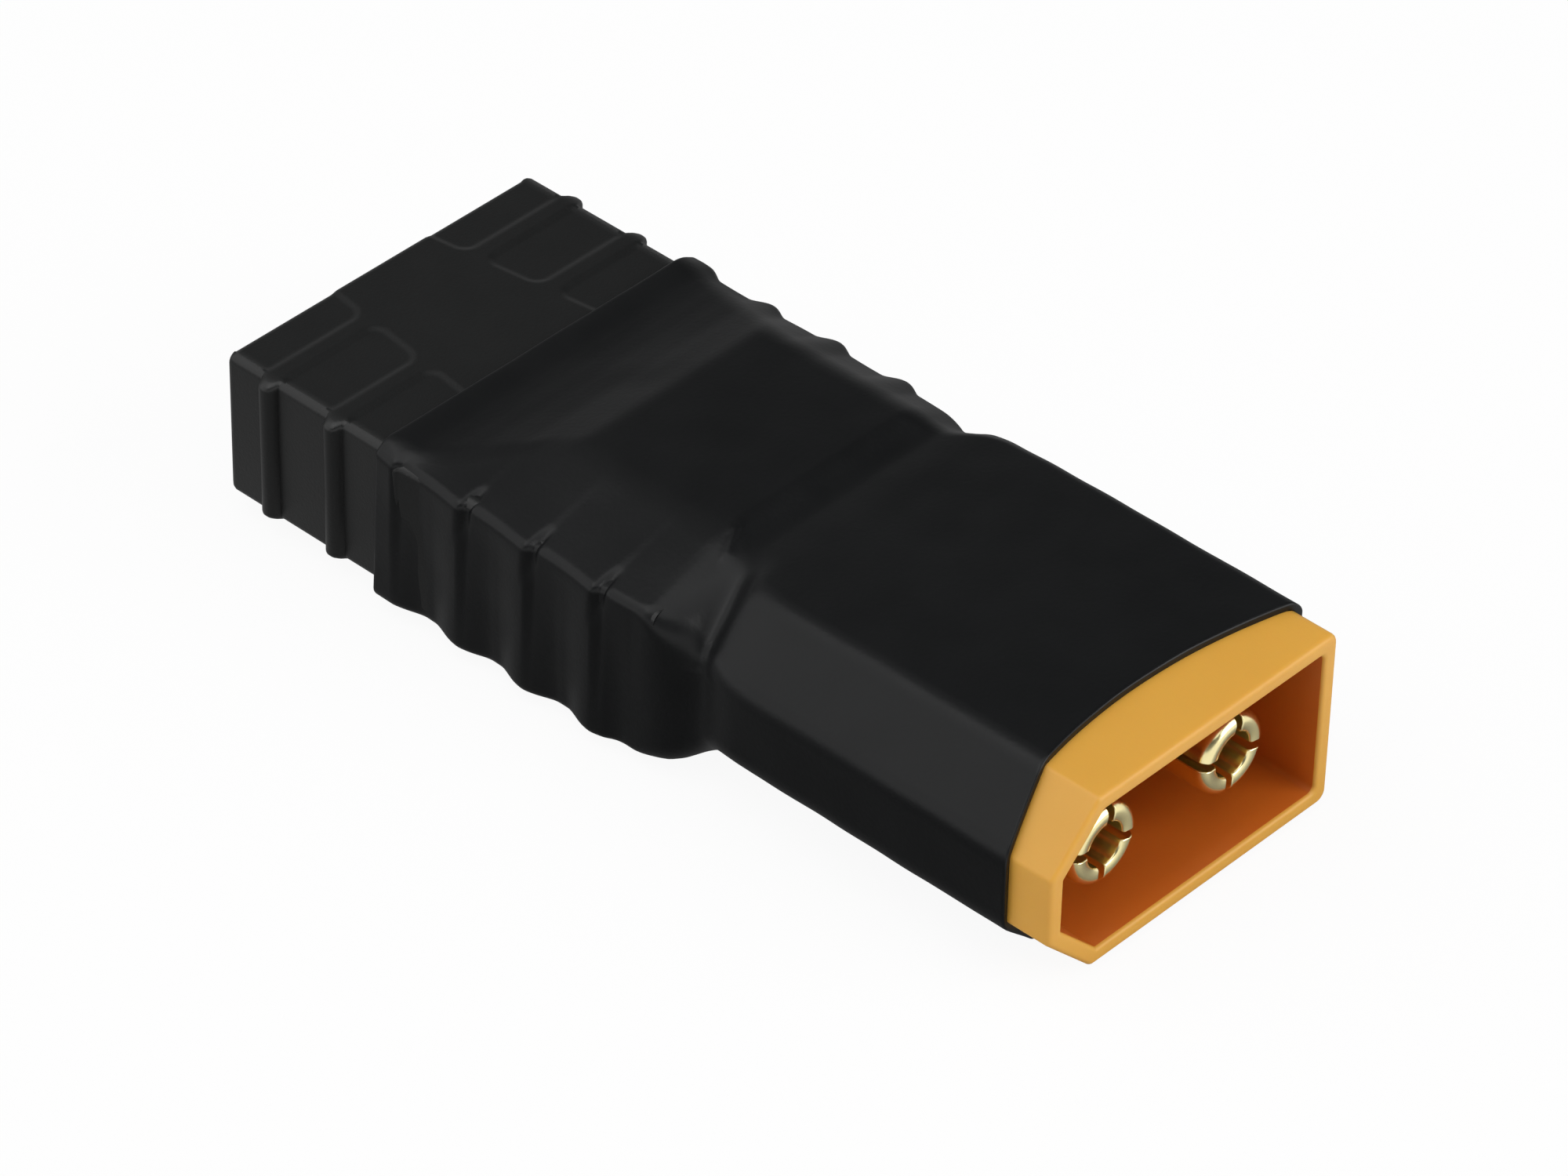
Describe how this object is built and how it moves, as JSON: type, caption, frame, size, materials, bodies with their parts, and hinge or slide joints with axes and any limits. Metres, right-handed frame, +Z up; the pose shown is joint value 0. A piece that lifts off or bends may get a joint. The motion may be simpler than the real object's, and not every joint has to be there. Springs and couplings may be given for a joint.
{
  "type": "battery connector adapter",
  "caption": "Short solid adapter: an amber shrouded plug with split round pins, soldered to a black ribbed blade socket, held by a heat-shrink sleeve.",
  "frame": {"origin": "under the middle of the adapter, on the plane that it rests on", "axes": "+X towards the plug's mouth, +Y away from the plug's bevelled side, +Z up"},
  "size_m": [0.0426, 0.0182, 0.0088],
  "materials": {
    "sleeve": "shrunk polyolefin tube, satin black",
    "plug_moulding": "moulded amber nylon, satin",
    "socket_moulding": "moulded black nylon, fine satin",
    "plated_brass": "turned or stamped brass with a bright gold plating",
    "spring_leaf": "plated copper alloy leaf",
    "solder": "set solder, bright"
  },
  "bodies": {
    "root": {"heat_shrink_sleeve": "sleeve", "plug_housing": "plug_moulding", "socket_housing": "socket_moulding", "plug_pin_positive": "plated_brass", "plug_pin_negative": "plated_brass", "socket_contact_positive": "plated_brass", "socket_contact_negative": "plated_brass", "contact_spring_positive": "spring_leaf", "contact_spring_negative": "spring_leaf", "solder_joint_positive": "solder", "solder_joint_negative": "solder"}
  },
  "joints": []
}
